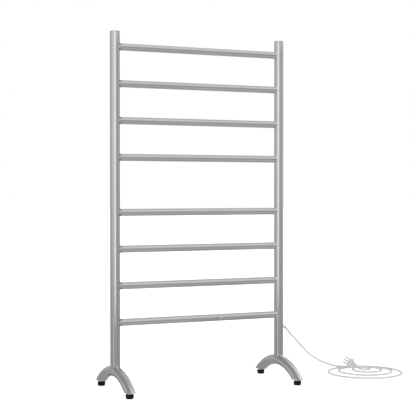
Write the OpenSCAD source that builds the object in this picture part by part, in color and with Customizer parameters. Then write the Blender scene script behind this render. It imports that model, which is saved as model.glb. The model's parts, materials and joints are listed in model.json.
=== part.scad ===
// Freestanding electric towel warmer rack.
// Two upright tubes carry eight horizontal bars and stand on two arched tube feet with
// levelling glides. A dry heating cable runs through the bars from post to post, and the
// mains lead leaves the outer side of the right post and lies coiled on the floor.
// X runs along the bars, -Y is the front, +Z is up. The origin is on the floor at the
// middle of the rack.

/* [Posts] */
// Distance between the centre lines of the two posts
post_spacing = 570; // [450:10:700]
// Height of the rack above the floor
rack_height = 1108; // [1108:2:1200]
// Outside diameter of a post
post_d = 30; // [28:1:30]
// Wall thickness of a post
post_wall = 1.5; // [1.2:0.1:1.5]
// Thickness of the cap on top of a post
cap_h = 4; // [3:0.5:6]

/* [Bars] */
// Outside diameter of a bar
bar_d = 22; // [18:1:22]
// Wall thickness of a bar
bar_wall = 1; // [0.8:0.1:1.5]
// Height of the lowest bar's centre line
lowest_bar_z = 213; // [210:1:220]
// Distance from one bar to the next
bar_pitch = 113; // [100:1:113]
// Gap between the lower and the upper group of bars, as a multiple of the pitch
middle_gap_ratio = 1.5; // [1:0.1:1.5]

/* [Feet] */
// Radius of a foot arch along the tube's centre line
foot_radius = 202; // [198:1:206]
// Height of the tube's centre line at the top of the arch
foot_apex_z = 63.5; // [62:0.5:65]
// Outside diameter of a foot tube
foot_d = 32; // [30:1:32]
// Wall thickness of a foot tube
foot_wall = 1.5; // [1.2:0.1:2]
// Height at which the ends of a foot are cut off level
foot_cut_z = 17.5; // [17:0.5:18]
// Distance of a glide from the plane of the posts
glide_y = 126.5; // [124:0.5:128]

/* [Glides] */
// Diameter of the glide pad at its top
pad_top_d = 26; // [22:1:26]
// Diameter of the glide pad on the floor
pad_bottom_d = 22; // [18:1:22]
// Height of the glide pad
pad_h = 12.5; // [12:0.5:12.5]
// Thread diameter of the glide stud
stud_d = 8; // [6:1:8]

/* [Mains lead] */
// Diameter of the lead
cord_d = 6; // [5:0.5:6.5]
// Height at which the lead leaves the right post
cord_exit_z = 173; // [170:1:176]
// Largest diameter of the plug body
plug_d = 35; // [33:1:35]

/* [Hidden] */

$fn = 64;
left = -1;
right = 1;
front = -1;
rear = 1;

// Gap left between pieces that are welded or pressed together
seat_gap = 0.05;
// Radial clearance of a stud in its thread and of a stud head in its pad
running_gap = 0.05;
// How far a cutting tool runs past the face that it cuts
past = 1;

// Posts and bars
post_x = post_spacing / 2;
post_r = post_d / 2;
post_inner_r = post_r - post_wall;
post_top_z = rack_height - cap_h;
cap_edge_r = 2;
cap_spigot_h = 12;
cap_spigot_wall = 2;
bars_per_group = 4;
bar_count = 2 * bars_per_group;
bar_end_inset = 7;
bar_half_length = post_x - bar_end_inset;

// Feet
foot_r = foot_d / 2;
foot_inner_r = foot_r - foot_wall;
arch_centre_z = foot_apex_z - foot_radius;
arch_half_angle = 52;
insert_h = 14;
bolt_hole_r = 4.5;
access_hole_r = 8;

// Foot bolt, its washer and the threaded insert in the post
bolt_r = 4;
bolt_head_r = 6.5;
bolt_head_h = 8;
bolt_seat_z = foot_apex_z + 8;
bolt_top_z = foot_apex_z + 42.5;
bolt_socket_r = 3.46;
bolt_socket_depth = 4.5;
washer_r = 9;
washer_hole_r = 4.25;
washer_back_r = foot_inner_r - 0.3;
post_insert_z = foot_apex_z + foot_r + 1.5;
post_insert_h = 30;
post_insert_top_z = post_insert_z + post_insert_h;

// Glide stud: thread, hexagon flange, neck and a head held in the pad
stud_r = stud_d / 2;
stud_top_z = foot_cut_z + 13;
face_gap = 0.15;
hex_r = 7.5;
hex_h = 1.4;
neck_r = 2.9;
head_r = 5;
head_low_z = 6.5;
head_high_z = 9.5;
pad_edge = 0.8;

// Heating cable
cable_r = 2.5;
cable_bend_r = 9;
cable_start_z = cord_exit_z + 13;
cable_end_inset = 23;

// Wiring in the foot of the right post
core_r = 1.1;
splice_r = 3.2;
splice_h = 18;
splice_z = cable_start_z - splice_h;
cutout_r = 4;
cutout_h = 22;
cutout_z = splice_z - 32;
end_splice_h = 16;
return_y = -8.8;
return_x = post_x - 1.5;
return_r = 1.3;
neutral_splice_r = 2.6;
neutral_splice_h = 16;
neutral_splice_z = cord_exit_z - 33;
earth_screw_y = 8.9;
tag_t = 0.8;
barrel_at = [post_x + 4.6, 8, post_insert_top_z];
barrel_h = 8;

// Grommet and strain relief on the outer side of the right post
grommet_hole_r = 5;
grommet_flange_r = 6.5;
grommet_face_x = post_x + post_r + 1.8;
stem_r = 3.7;
stem_inner_x = post_x + 9.5;
boot_from = [post_x + post_r + 5, 0, cord_exit_z];
boot_heading = 32;
boot_drop = 31;
boot_length = 22;
boot_root_r = 4.2;
boot_tip_r = 3.4;
boot_tip = boot_from + boot_length * aim(boot_heading, -boot_drop);

// Route of the lead from the strain relief down to the floor, where the coil starts
cord_r = cord_d / 2;
cord_route = [[339, 24, 147], [357, 34, 133], [376, 45, 119], [391, 53, 106],
              [406, 61, 94], [421, 68, 82], [436, 75, 70], [449, 81, 61],
              [463, 86, 53], [488, 95, 39], [512, 102, 28], [536, 107, 19],
              [558, 110.5, 12], [579, 112.5, 7], [593, 112.5, 5], [607, 111.8, 4],
              [621, 110.3, 3], [635, 107.7, 3], [647, 104.2, 3], [659, 99.5, 3]];
coil_centre = [605.8, -16.2];
coil_r = 127;

// Plug: its face centre, where its pins point, and the length of its pieces
plug_face = [600, 73.2, 26];
plug_heading = 128;
plug_tilt = 26;
plug_body_l = 24;
plug_boot_l = 20;
pin_l = 19;
pin_r = 2;
pin_spacing = 9.5;

steel = [0.74, 0.75, 0.76];
inner_steel = [0.6, 0.61, 0.62];
zinc = [0.82, 0.83, 0.84];
black = [0.04, 0.04, 0.04];
white = [0.9, 0.9, 0.89];
brass = [0.8, 0.65, 0.35];

// Unit vector at a heading about Z and a rise above the floor plane, in degrees
function aim(heading, rise) =
    [cos(rise) * cos(heading), cos(rise) * sin(heading), sin(rise)];

function unit(v) = v / norm(v);

function bar_z(i) = lowest_bar_z + bar_pitch * i
    + (i >= bars_per_group ? bar_pitch * (middle_gap_ratio - 1) : 0);

// Catmull-Rom curve through the points p, with n steps from one point to the next
function curve_at(a, b, c, d, t) =
    0.5 * (2 * b + (c - a) * t + (2 * a - 5 * b + 4 * c - d) * t * t
           + (3 * b - a - 3 * c + d) * t * t * t);
function smooth(p, n) =
    [for (i = [0 : len(p) - 2])
        for (k = [0 : n - 1])
            curve_at(p[max(i - 1, 0)], p[i], p[i + 1], p[min(i + 2, len(p) - 1)], k / n),
     p[len(p) - 1]];

function tangent(p, i) =
    unit((i < len(p) - 1 ? unit(p[i + 1] - p[i]) : [0, 0, 0])
         + (i > 0 ? unit(p[i] - p[i - 1]) : [0, 0, 0]));

function ring(centre, along, beside, r, sides) =
    let (u = unit(cross(along, beside)), v = cross(along, u))
        [for (k = [0 : sides - 1])
            centre + r * (cos(360 * k / sides) * u + sin(360 * k / sides) * v)];

// Round wire along the points p; beside is a direction that the wire never takes
module wire(p, r, sides, beside) {
    last = len(p) - 1;
    points = [for (i = [0 : last]) each ring(p[i], tangent(p, i), beside, r, sides)];
    side_faces = [for (i = [0 : last - 1])
                      for (k = [0 : sides - 1])
                          [i * sides + k, (i + 1) * sides + k,
                           (i + 1) * sides + (k + 1) % sides, i * sides + (k + 1) % sides]];
    start_face = [for (k = [0 : sides - 1]) k];
    end_face = [for (k = [sides - 1 : -1 : 0]) last * sides + k];
    polyhedron(points, concat([start_face], side_faces, [end_face]), convexity = 10);
}

// Solid rod that follows the centre line of a foot arch and runs on below the floor
module arch_rod(side, r) {
    translate([side * post_x, 0, arch_centre_z])
        rotate([90, 0, 90])
            rotate([0, 0, 90 - arch_half_angle])
                rotate_extrude(angle = 2 * arch_half_angle)
                    translate([foot_radius, 0])
                        circle(r = r);
}

module upright(side, r, from_z, to_z) {
    translate([side * post_x, 0, from_z])
        cylinder(r = r, h = to_z - from_z);
}

module post(side) {
    difference() {
        upright(side, post_r, foot_apex_z, post_top_z);
        upright(side, post_inner_r, foot_apex_z - past, post_top_z + past);
        arch_rod(side, foot_r + seat_gap);
        for (i = [0 : bar_count - 1])
            translate([side * post_x, 0, bar_z(i)])
                rotate([0, -90 * side, 0])
                    cylinder(r = bar_d / 2 + seat_gap, h = post_r + past);
        if (side == right)
            translate([post_x, 0, cord_exit_z])
                rotate([0, 90, 0])
                    cylinder(r = grommet_hole_r, h = post_r + past);
    }
}

module left_post() {
    color(steel) post(left);
}

module right_post() {
    color(steel) post(right);
}

// Cap with a rounded top edge and a hollow spigot that is pressed into the post
module post_cap(side) {
    spigot_r = post_inner_r - seat_gap;
    color(steel)
        translate([side * post_x, 0, post_top_z])
            difference() {
                union() {
                    rotate_extrude() {
                        square([post_r, cap_h - cap_edge_r]);
                        square([post_r - cap_edge_r, cap_h]);
                        translate([post_r - cap_edge_r, cap_h - cap_edge_r])
                            intersection() {
                                circle(r = cap_edge_r);
                                square(cap_edge_r);
                            }
                    }
                    translate([0, 0, -cap_spigot_h])
                        cylinder(r = spigot_r, h = cap_spigot_h + cap_h / 2);
                }
                translate([0, 0, -cap_spigot_h - past])
                    cylinder(r = spigot_r - cap_spigot_wall, h = cap_spigot_h);
            }
}

module left_post_cap() {
    post_cap(left);
}

module right_post_cap() {
    post_cap(right);
}

module bar(i) {
    color(steel)
        translate([-bar_half_length, 0, bar_z(i)])
            rotate([0, 90, 0])
                difference() {
                    cylinder(d = bar_d, h = 2 * bar_half_length);
                    translate([0, 0, -past])
                        cylinder(d = bar_d - 2 * bar_wall, h = 2 * (bar_half_length + past));
                }
}

// Arched tube, cut off level at both ends, with a bolt hole in the top of the arch and an
// access hole for the bolt's head below it
module foot(side) {
    cut_box = [4 * foot_d, 4 * foot_radius, 2 * foot_radius];
    color(steel)
        difference() {
            arch_rod(side, foot_r);
            arch_rod(side, foot_inner_r);
            translate([side * post_x - cut_box.x / 2, -cut_box.y / 2, foot_cut_z - cut_box.z])
                cube(cut_box);
            upright(side, bolt_hole_r, foot_apex_z, foot_apex_z + foot_d);
            upright(side, access_hole_r, foot_apex_z - foot_d, foot_apex_z);
        }
}

module left_foot() {
    foot(left);
}

module right_foot() {
    foot(right);
}

// Steel plug in the open end of a foot tube, with the thread for the glide
module foot_insert(side, end) {
    slab = [3 * foot_d, 4 * foot_d, insert_h];
    color(inner_steel)
        difference() {
            intersection() {
                arch_rod(side, foot_inner_r - seat_gap);
                translate([side * post_x - slab.x / 2, end * glide_y - slab.y / 2, foot_cut_z])
                    cube(slab);
            }
            translate([side * post_x, end * glide_y, foot_cut_z - past])
                cylinder(r = stud_r + running_gap, h = insert_h + 2 * past);
        }
}

// Threaded stud with a thin hexagon flange, held by its head in the pad
module glide_stud(side, end) {
    color(zinc)
        translate([side * post_x, end * glide_y, 0]) {
            translate([0, 0, pad_h + face_gap])
                cylinder(r = stud_r, h = stud_top_z - pad_h - face_gap);
            translate([0, 0, pad_h + face_gap])
                cylinder(r = hex_r, h = hex_h, $fn = 6);
            translate([0, 0, head_low_z])
                cylinder(r = neck_r, h = pad_h + face_gap + hex_h / 2 - head_low_z);
            translate([0, 0, head_low_z])
                cylinder(r = head_r, h = head_high_z - head_low_z);
        }
}

// Tapered pad with a round pocket that holds the head of the stud
module glide_pad(side, end) {
    bottom_r = pad_bottom_d / 2;
    top_r = pad_top_d / 2;
    color(black)
        translate([side * post_x, end * glide_y, 0])
            difference() {
                rotate_extrude()
                    polygon([[0, 0], [bottom_r - pad_edge, 0], [bottom_r, pad_edge],
                             [top_r, pad_h - pad_edge], [top_r - pad_edge, pad_h],
                             [0, pad_h]]);
                translate([0, 0, head_low_z - face_gap])
                    cylinder(r = head_r + running_gap,
                             h = head_high_z - head_low_z + 2 * face_gap);
                translate([0, 0, head_high_z])
                    cylinder(r = neck_r + running_gap, h = pad_h - head_high_z + past);
            }
}

// Threaded plug in the foot of a post; the right one also takes the earth screw
module post_insert(side) {
    color(inner_steel)
        difference() {
            upright(side, post_inner_r - seat_gap, post_insert_z, post_insert_top_z);
            upright(side, bolt_r + seat_gap, post_insert_z - past, post_insert_top_z + past);
            if (side == right)
                translate([post_x, earth_screw_y, post_insert_top_z - 12])
                    cylinder(r = 2, h = 12 + past);
        }
}

module left_post_insert() {
    post_insert(left);
}

module right_post_insert() {
    post_insert(right);
}

// Socket-head screw that pulls the arch up against the foot of the post
module foot_bolt(side) {
    color(zinc)
        difference() {
            union() {
                upright(side, bolt_r, bolt_seat_z - bolt_head_h / 2, bolt_top_z);
                upright(side, bolt_head_r, bolt_seat_z - bolt_head_h, bolt_seat_z);
            }
            translate([side * post_x, 0, bolt_seat_z - bolt_head_h - past])
                cylinder(r = bolt_socket_r, h = bolt_socket_depth + past, $fn = 6);
        }
}

module left_foot_bolt() {
    foot_bolt(left);
}

module right_foot_bolt() {
    foot_bolt(right);
}

// Washer with a flat seat for the screw and a round back that lies along the inside of
// the arch
module saddle_washer(side) {
    color(zinc)
        difference() {
            intersection() {
                upright(side, washer_r, bolt_seat_z, foot_apex_z + foot_r);
                translate([side * post_x, 0, foot_apex_z])
                    rotate([90, 0, 0])
                        cylinder(r = washer_back_r, h = 2 * foot_d, center = true);
            }
            upright(side, washer_hole_r, bolt_seat_z - past, foot_apex_z + foot_r);
        }
}

module left_saddle_washer() {
    saddle_washer(left);
}

module right_saddle_washer() {
    saddle_washer(right);
}

// The cable enters each bar from below at one post and leaves it upwards at the other
function bar_entry(i, side) =
    [for (a = [0 : 30 : 90])
        [side * (post_x - cable_bend_r * (1 - cos(a))), 0,
         bar_z(i) - cable_bend_r * (1 - sin(a))]];
function bar_exit(i, side) =
    [for (a = [-90 : 30 : 0])
        [side * (post_x - cable_bend_r * (1 - cos(a))), 0,
         bar_z(i) + cable_bend_r * (1 + sin(a))]];
function cable_route() =
    concat([[post_x, 0, cable_start_z]],
           [for (i = [0 : bar_count - 1])
               let (side_in = i % 2 == 0 ? right : left)
                   each concat(bar_entry(i, side_in),
                               i < bar_count - 1 ? bar_exit(i, -side_in) : [])],
           [[post_x - cable_end_inset, 0, bar_z(bar_count - 1)]]);

module heating_cable() {
    color("firebrick") wire(cable_route(), cable_r, 8, [0, 1, 0]);
}

module live_splice() {
    color(white) upright(right, splice_r, splice_z, cable_start_z);
}

module thermal_cutout() {
    color(inner_steel) upright(right, cutout_r, cutout_z, cutout_z + cutout_h);
}

module link_lead() {
    color("sienna") upright(right, core_r, cutout_z + cutout_h, splice_z);
}

// Live core from the strain relief, round the cut-out and up into its lower end
module live_lead() {
    route = [[stem_inner_x, 2.6, cord_exit_z], [post_x + 8.7, 2.6, cord_exit_z],
             [post_x + 6.9, 2.7, cord_exit_z - 0.9], [post_x + 5.9, 2.7, cord_exit_z - 2.6],
             [post_x + 5.6, 2.7, cord_exit_z - 5], [post_x + 5.6, 2.6, cutout_z - 3],
             [post_x + 4.8, 2.2, cutout_z - 7], [post_x + 2.8, 1.3, cutout_z - 9],
             [post_x + 0.9, 0.4, cutout_z - 7], [post_x, 0, cutout_z - 4],
             [post_x, 0, cutout_z]];
    color("sienna") wire(route, core_r, 8, [0.2, 1, 0]);
}

module end_splice() {
    color(white)
        translate([post_x - cable_end_inset, 0, bar_z(bar_count - 1)])
            rotate([0, 90, 0])
                cylinder(r = splice_r, h = end_splice_h);
}

// Cold lead from the top end of the cable down the right post
module return_lead() {
    top_z = bar_z(bar_count - 1);
    from_x = post_x - cable_end_inset + end_splice_h;
    low_z = neutral_splice_z + neutral_splice_h;
    route = [[from_x, 0, top_z], [from_x + 0.8, 0, top_z],
             [from_x + 2.5, -0.6, top_z - 0.5],
             [from_x + 4.5, -2.6, top_z - 2.5], [return_x - 0.3, -5.4, top_z - 7],
             [return_x, -7.8, top_z - 13], [return_x, return_y, top_z - 20],
             [return_x, return_y, low_z]];
    color("steelblue") wire(route, return_r, 8, [0.3, 1, 0]);
}

module neutral_splice() {
    color(white)
        translate([return_x, return_y, neutral_splice_z])
            cylinder(r = neutral_splice_r, h = neutral_splice_h);
}

module neutral_lead() {
    low_z = neutral_splice_z;
    route = [[stem_inner_x, -2.6, cord_exit_z], [post_x + 8.7, -2.6, cord_exit_z],
             [post_x + 6.9, -2.9, cord_exit_z - 0.9], [post_x + 5.9, -3.2, cord_exit_z - 2.6],
             [post_x + 5.5, -4, cord_exit_z - 6], [post_x + 4.4, -7.4, cord_exit_z - 20],
             [post_x + 3.6, return_y, low_z + 6], [post_x + 3.4, return_y, low_z - 2],
             [post_x + 2.5, return_y, low_z - 5], [post_x + 0.9, return_y, low_z - 6.5],
             [post_x - 0.8, return_y, low_z - 5], [return_x, return_y, low_z - 2],
             [return_x, return_y, low_z]];
    color("steelblue") wire(route, core_r, 8, [0.2, 1, 0]);
}

module earth_lead() {
    top = barrel_at + [0, 0, barrel_h];
    route = [[stem_inner_x, 0, cord_exit_z - 2.4], [post_x + 8.8, 0, cord_exit_z - 2.4],
             [post_x + 7.6, 0, cord_exit_z - 3.5], [post_x + 7.3, 0, cord_exit_z - 6],
             [post_x + 8.8, 0.4, cord_exit_z - 14],
             [post_x + 9.5, 1.5, cord_exit_z - 23], [post_x + 8.6, 4.6, cord_exit_z - 36],
             [post_x + 6.2, 7.2, top.z + 6], top + [0, 0, 3], top];
    color("green") wire(route, core_r, 8, [0.2, 1, 0]);
}

// Ring terminal under the earth screw, with an upright crimp barrel
module earth_tag() {
    color(brass)
        difference() {
            union() {
                translate([post_x, earth_screw_y, post_insert_top_z])
                    cylinder(r = 3.6, h = tag_t);
                translate([post_x, barrel_at.y - 1.2, post_insert_top_z])
                    cube([4.6, 2.4, tag_t]);
                translate(barrel_at)
                    cylinder(r = 1.5, h = barrel_h);
            }
            translate([post_x, earth_screw_y, post_insert_top_z - past])
                cylinder(r = 2.1, h = tag_t + 2 * past);
        }
}

module earth_screw() {
    shank_l = 9;
    color(zinc)
        translate([post_x, earth_screw_y, post_insert_top_z + tag_t]) {
            translate([0, 0, -shank_l])
                cylinder(r = 1.95, h = shank_l + past);
            difference() {
                cylinder(r = 2.8, h = 2.4);
                translate([-3, -0.4, 1.4])
                    cube([6, 0.8, 2]);
            }
        }
}

// Bush in the wall of the right post; its flange is curved to sit on the post
module cord_grommet() {
    from_x = post_x + post_inner_r - past;
    color(white)
        translate([0, 0, cord_exit_z])
            difference() {
                union() {
                    translate([from_x, 0, 0])
                        rotate([0, 90, 0])
                            cylinder(r = grommet_hole_r - seat_gap, h = grommet_face_x - from_x);
                    difference() {
                        translate([post_x, 0, 0])
                            rotate([0, 90, 0])
                                cylinder(r = grommet_flange_r, h = grommet_face_x - post_x);
                        translate([post_x, 0, -grommet_flange_r - past])
                            cylinder(r = post_r + seat_gap, h = 2 * (grommet_flange_r + past));
                    }
                }
                translate([post_x, 0, 0])
                    rotate([0, 90, 0])
                        cylinder(r = stem_r + seat_gap, h = post_d);
            }
}

// Moulded relief on the lead: a stem through the bush, then a tapered boot that points
// the way the lead falls
module strain_relief() {
    color(white) {
        translate([stem_inner_x, 0, cord_exit_z])
            rotate([0, 90, 0])
                cylinder(r = stem_r, h = boot_from.x - stem_inner_x);
        translate(boot_from)
            sphere(r = boot_root_r);
        translate(boot_from)
            rotate([0, 90 + boot_drop, boot_heading])
                cylinder(r1 = boot_root_r, r2 = boot_tip_r, h = boot_length);
    }
}

// The stretch of the lead that isn't coiled
module power_cord() {
    color(white) wire(smooth(concat([boot_tip], cord_route), 2), cord_r, 10, [0, 0, 1]);
}

// Outer shape of the loose flat coil on the floor
module cord_coil() {
    color(white)
        translate([coil_centre.x, coil_centre.y, 0])
            rotate_extrude() {
                square([coil_r, cord_d]);
                translate([coil_r, cord_r])
                    intersection() {
                        circle(r = cord_r);
                        translate([0, -cord_r])
                            square([cord_r, cord_d]);
                    }
            }
}

// Puts children drawn along +X from the plug's face, with their backs along -X
module at_plug() {
    translate(plug_face)
        rotate([0, -plug_tilt, plug_heading])
            children();
}

module plug_body() {
    r = plug_d / 2;
    color(white)
        at_plug()
            rotate([0, -90, 0])
                rotate_extrude()
                    polygon([[0, 0], [r - 4, 0], [r - 2.5, 1.5], [r, 6.5], [r, 8.5],
                             [r - 3, 12], [7.5, plug_body_l - 4], [6, plug_body_l],
                             [0, plug_body_l]]);
}

module plug_boot() {
    color(white)
        at_plug()
            translate([-plug_body_l, 0, 0])
                rotate([0, -90, 0])
                    cylinder(r1 = 5.2, r2 = 3.7, h = plug_boot_l);
}

// Round pin with a domed end, in the row of three
module plug_pin(z) {
    color(brass)
        at_plug()
            translate([0, 0, z]) {
                rotate([0, 90, 0])
                    cylinder(r = pin_r, h = pin_l - pin_r);
                translate([pin_l - pin_r, 0, 0])
                    sphere(r = pin_r);
            }
}

module plug_live_pin() {
    plug_pin(pin_spacing);
}

module plug_neutral_pin() {
    plug_pin(-pin_spacing);
}

module plug_earth_pin() {
    plug_pin(0);
}

left_post();
right_post();
left_post_cap();
right_post_cap();
bar(0);  // bar_1
bar(1);  // bar_2
bar(2);  // bar_3
bar(3);  // bar_4
bar(4);  // bar_5
bar(5);  // bar_6
bar(6);  // bar_7
bar(7);  // bar_8
left_foot();
right_foot();
foot_insert(left, front);  // left_front_insert
foot_insert(left, rear);  // left_rear_insert
foot_insert(right, front);  // right_front_insert
foot_insert(right, rear);  // right_rear_insert
glide_stud(left, front);  // left_front_stud
glide_stud(left, rear);  // left_rear_stud
glide_stud(right, front);  // right_front_stud
glide_stud(right, rear);  // right_rear_stud
glide_pad(left, front);  // left_front_pad
glide_pad(left, rear);  // left_rear_pad
glide_pad(right, front);  // right_front_pad
glide_pad(right, rear);  // right_rear_pad
left_post_insert();
right_post_insert();
left_foot_bolt();
right_foot_bolt();
left_saddle_washer();
right_saddle_washer();
heating_cable();
live_splice();
thermal_cutout();
link_lead();
live_lead();
end_splice();
return_lead();
neutral_splice();
neutral_lead();
earth_lead();
earth_tag();
earth_screw();
cord_grommet();
strain_relief();
power_cord();
cord_coil();
plug_body();
plug_boot();
plug_live_pin();
plug_neutral_pin();
plug_earth_pin();
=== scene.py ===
"""Freestanding electric towel warmer rack: the looks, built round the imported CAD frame.

Every length is in metres, in the frame's own axes: X along the bars, -Y to the front, +Z up.
"""
import json
import math

import bmesh
import bpy
from mathutils import Matrix, Vector


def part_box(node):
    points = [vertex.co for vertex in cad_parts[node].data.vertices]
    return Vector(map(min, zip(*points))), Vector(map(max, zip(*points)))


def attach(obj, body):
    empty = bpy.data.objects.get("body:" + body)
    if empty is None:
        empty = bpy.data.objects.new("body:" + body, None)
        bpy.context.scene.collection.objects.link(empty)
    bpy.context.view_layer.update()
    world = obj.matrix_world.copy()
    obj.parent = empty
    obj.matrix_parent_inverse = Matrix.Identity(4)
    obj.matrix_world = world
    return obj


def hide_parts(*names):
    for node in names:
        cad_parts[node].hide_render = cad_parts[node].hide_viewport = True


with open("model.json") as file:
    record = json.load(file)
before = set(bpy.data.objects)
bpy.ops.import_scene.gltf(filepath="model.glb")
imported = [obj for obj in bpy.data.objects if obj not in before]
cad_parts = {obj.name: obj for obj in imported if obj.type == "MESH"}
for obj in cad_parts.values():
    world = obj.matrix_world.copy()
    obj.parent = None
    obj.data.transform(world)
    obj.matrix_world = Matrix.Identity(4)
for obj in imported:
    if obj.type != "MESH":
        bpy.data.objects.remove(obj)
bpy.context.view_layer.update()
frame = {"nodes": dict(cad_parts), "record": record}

MM = 0.001
TURN = 2 * math.pi
UP = Vector((0, 0, 1))
OUTWARD = {"left": -1, "right": 1}
ENDS = ("front", "rear")
BARS = sorted(n for n in frame["nodes"] if n.startswith("bar_"))

# Camera: where it stands and which way it looks
CAMERA_AT = (-1.4770, -3.2696, 0.6215)
CAMERA_YAW = 24.74
CAMERA_PITCH = 0.92
CAMERA_LENS = 97.8

# How far the studio is turned about the rack, in degrees
STUDIO_TURN = 24.74

# Tubes
POST_R = 15 * MM
TUBE_WALL = 1.5 * MM
BAR_R = 11 * MM
BAR_WALL = 1.0 * MM
ARCH_R = 202 * MM
FOOT_R = 16 * MM
ACCESS_HOLE_R = 8 * MM
WELD_R = 1.6 * MM
FOOT_WELD_R = 1.8 * MM
TUBE_SIDES = 96

# Lead: its radius, where it leaves the post, and its route down to the floor
LEAD_R = 3 * MM
EXIT_AT = Vector((0.3018, 0.0, 0.173))
BOOT_TIP = Vector((0.32099, 0.00999, 0.16167))
BOOT_AIM = Vector((0.7269, 0.4542, -0.5150))
ROUTE = [(0.339, 0.024, 0.147), (0.357, 0.034, 0.133), (0.376, 0.045, 0.119),
         (0.391, 0.053, 0.106), (0.406, 0.061, 0.094), (0.421, 0.068, 0.082),
         (0.436, 0.075, 0.070), (0.449, 0.081, 0.061), (0.463, 0.086, 0.053),
         (0.488, 0.095, 0.039), (0.512, 0.102, 0.028), (0.536, 0.107, 0.019),
         (0.558, 0.1105, 0.012), (0.579, 0.1125, 0.007), (0.593, 0.1128, 0.005),
         (0.607, 0.1124, 0.004), (0.621, 0.1112, 0.003), (0.635, 0.1085, 0.003),
         (0.647, 0.1045, 0.003)]

# Loose coil on the floor: the centre and the radius of each turn, from the outermost in, and
# how far the left end of each turn lies out of round
TURNS = [(Vector((0.6053, -0.0150)), 0.1274), (Vector((0.6224, 0.0073)), 0.0925),
         (Vector((0.6381, 0.0313)), 0.0576), (Vector((0.6465, 0.0552)), 0.0255)]
LEAN = [0, 0.016, 0.018, 0, 0]
COIL_START = 0.012
COIL_END = 3.576
COIL_ACROSS = Vector((0.9082, -0.4185))
COIL_AWAY = Vector((0.4185, 0.9082))

# Part of a turn over which the lead climbs from the floor into the boot, at the coil's inner end
CLIMB = 0.14
ROUTE_STEPS = 6
COIL_STEPS = 230

# Plug: its face centre, where its pins point, in degrees, and how far apart they stand
PLUG_FACE = Vector((0.600, 0.0732, 0.026))
PLUG_HEADING = 128
PLUG_TILT = 26
PIN_SPACING = 9.5

# Where the bush sits in the post's wall
BUSH_X = 0.300

# Moulded sleeves: radius at the root and at the tip, and the depth of the rings cut into them
RELIEF_SLEEVE = (4.4 * MM, 3.45 * MM, 0.55 * MM)
BOOT_SLEEVE = (6.0 * MM, 4.4 * MM, 0.6 * MM)

# Tall bright card in front of the rack: the middle of its foot, its width and its height
STRIP_AT = Vector((-0.4225, -0.7075, 0.10))
STRIP_ACROSS = Vector((-0.774, 0.459, 0))
STRIP_TALL = Vector((0, 0, 1.5))


# ---------------------------------------------------------------------------
# Mesh helpers
# ---------------------------------------------------------------------------

def middle(node):
    low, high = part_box(node)
    return (low + high) / 2


def skin(rings, closed=False):
    """Vertices and faces of a surface over rings of equally many points. A ring of one point is a
    pole. Closed joins the last ring to the first, as on a torus; otherwise both ends are capped."""
    verts, faces, start = [], [], []
    for ring in rings:
        start.append(len(verts))
        verts.extend(Vector(p) for p in ring)
    count = len(rings)
    for i in range(count if closed else count - 1):
        j = (i + 1) % count
        a, b = start[i], start[j]
        na, nb = len(rings[i]), len(rings[j])
        for k in range(max(na, nb)):
            m = (k + 1) % max(na, nb)
            if na == 1:
                faces.append((a, b + m, b + k))
            elif nb == 1:
                faces.append((a + k, a + m, b))
            else:
                faces.append((a + k, a + m, b + m, b + k))
    if not closed:
        if len(rings[0]) > 1:
            faces.append(tuple(reversed(range(start[0], start[0] + len(rings[0])))))
        if len(rings[-1]) > 1:
            faces.append(tuple(range(start[-1], start[-1] + len(rings[-1]))))
    return verts, faces


def merged(parts):
    """One list of vertices and one of faces from several (vertices, faces)."""
    verts, faces = [], []
    for v, f in parts:
        faces.extend(tuple(i + len(verts) for i in face) for face in f)
        verts.extend(v)
    return verts, faces


def piece(name, shape, material, body="frame", nodes=(), place=None, sharp=None):
    """A finished piece from (vertices, faces): outward faces, smooth shading, edges sharper than
    the angle sharp kept crisp, riding on its body."""
    verts, faces = shape
    mesh = bpy.data.meshes.new(name)
    mesh.from_pydata([tuple(v) for v in verts], [], faces)
    bm = bmesh.new()
    bm.from_mesh(mesh)
    bmesh.ops.remove_doubles(bm, verts=bm.verts, dist=1e-7)
    bmesh.ops.dissolve_degenerate(bm, edges=bm.edges, dist=1e-7)
    bmesh.ops.recalc_face_normals(bm, faces=bm.faces)
    if place is not None:
        bmesh.ops.transform(bm, matrix=place, verts=bm.verts)
    for face in bm.faces:
        face.smooth = True
    bm.to_mesh(mesh)
    bm.free()
    if sharp is not None:
        mesh.set_sharp_from_angle(angle=math.radians(sharp))
    mesh.materials.append(material)
    obj = bpy.data.objects.new(name, mesh)
    bpy.context.scene.collection.objects.link(obj)
    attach(obj, body)
    if nodes:
        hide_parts(*nodes)
    return obj


def circle(centre, across, beside, radius, sides):
    return [centre + radius * (math.cos(TURN * k / sides) * across
                               + math.sin(TURN * k / sides) * beside) for k in range(sides)]


def rounded(corners, steps=6):
    """Outline through the corners (r, z, radius), each corner rounded to its radius. A point
    just before and after each arc keeps the flats on either side flat when shaded smooth."""
    clear = 1.12
    line = []
    for i, (r, z, radius) in enumerate(corners):
        here = Vector((r, z))
        if radius == 0 or i in (0, len(corners) - 1):
            line.append(here)
            continue
        before = (Vector(corners[i - 1][:2]) - here).normalized()
        after = (Vector(corners[i + 1][:2]) - here).normalized()
        half = before.angle(after) / 2
        reach = radius / math.tan(half)
        centre = here + (before + after).normalized() * radius / math.sin(half)
        first = here + before * reach - centre
        last = here + after * reach - centre
        swing = math.atan2(first.x * last.y - first.y * last.x, first.dot(last))
        line.append(here + before * reach * clear)
        for k in range(steps + 1):
            a = swing * k / steps
            line.append(centre + Vector((first.x * math.cos(a) - first.y * math.sin(a),
                                         first.x * math.sin(a) + first.y * math.cos(a))))
        line.append(here + after * reach * clear)
    return line


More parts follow.
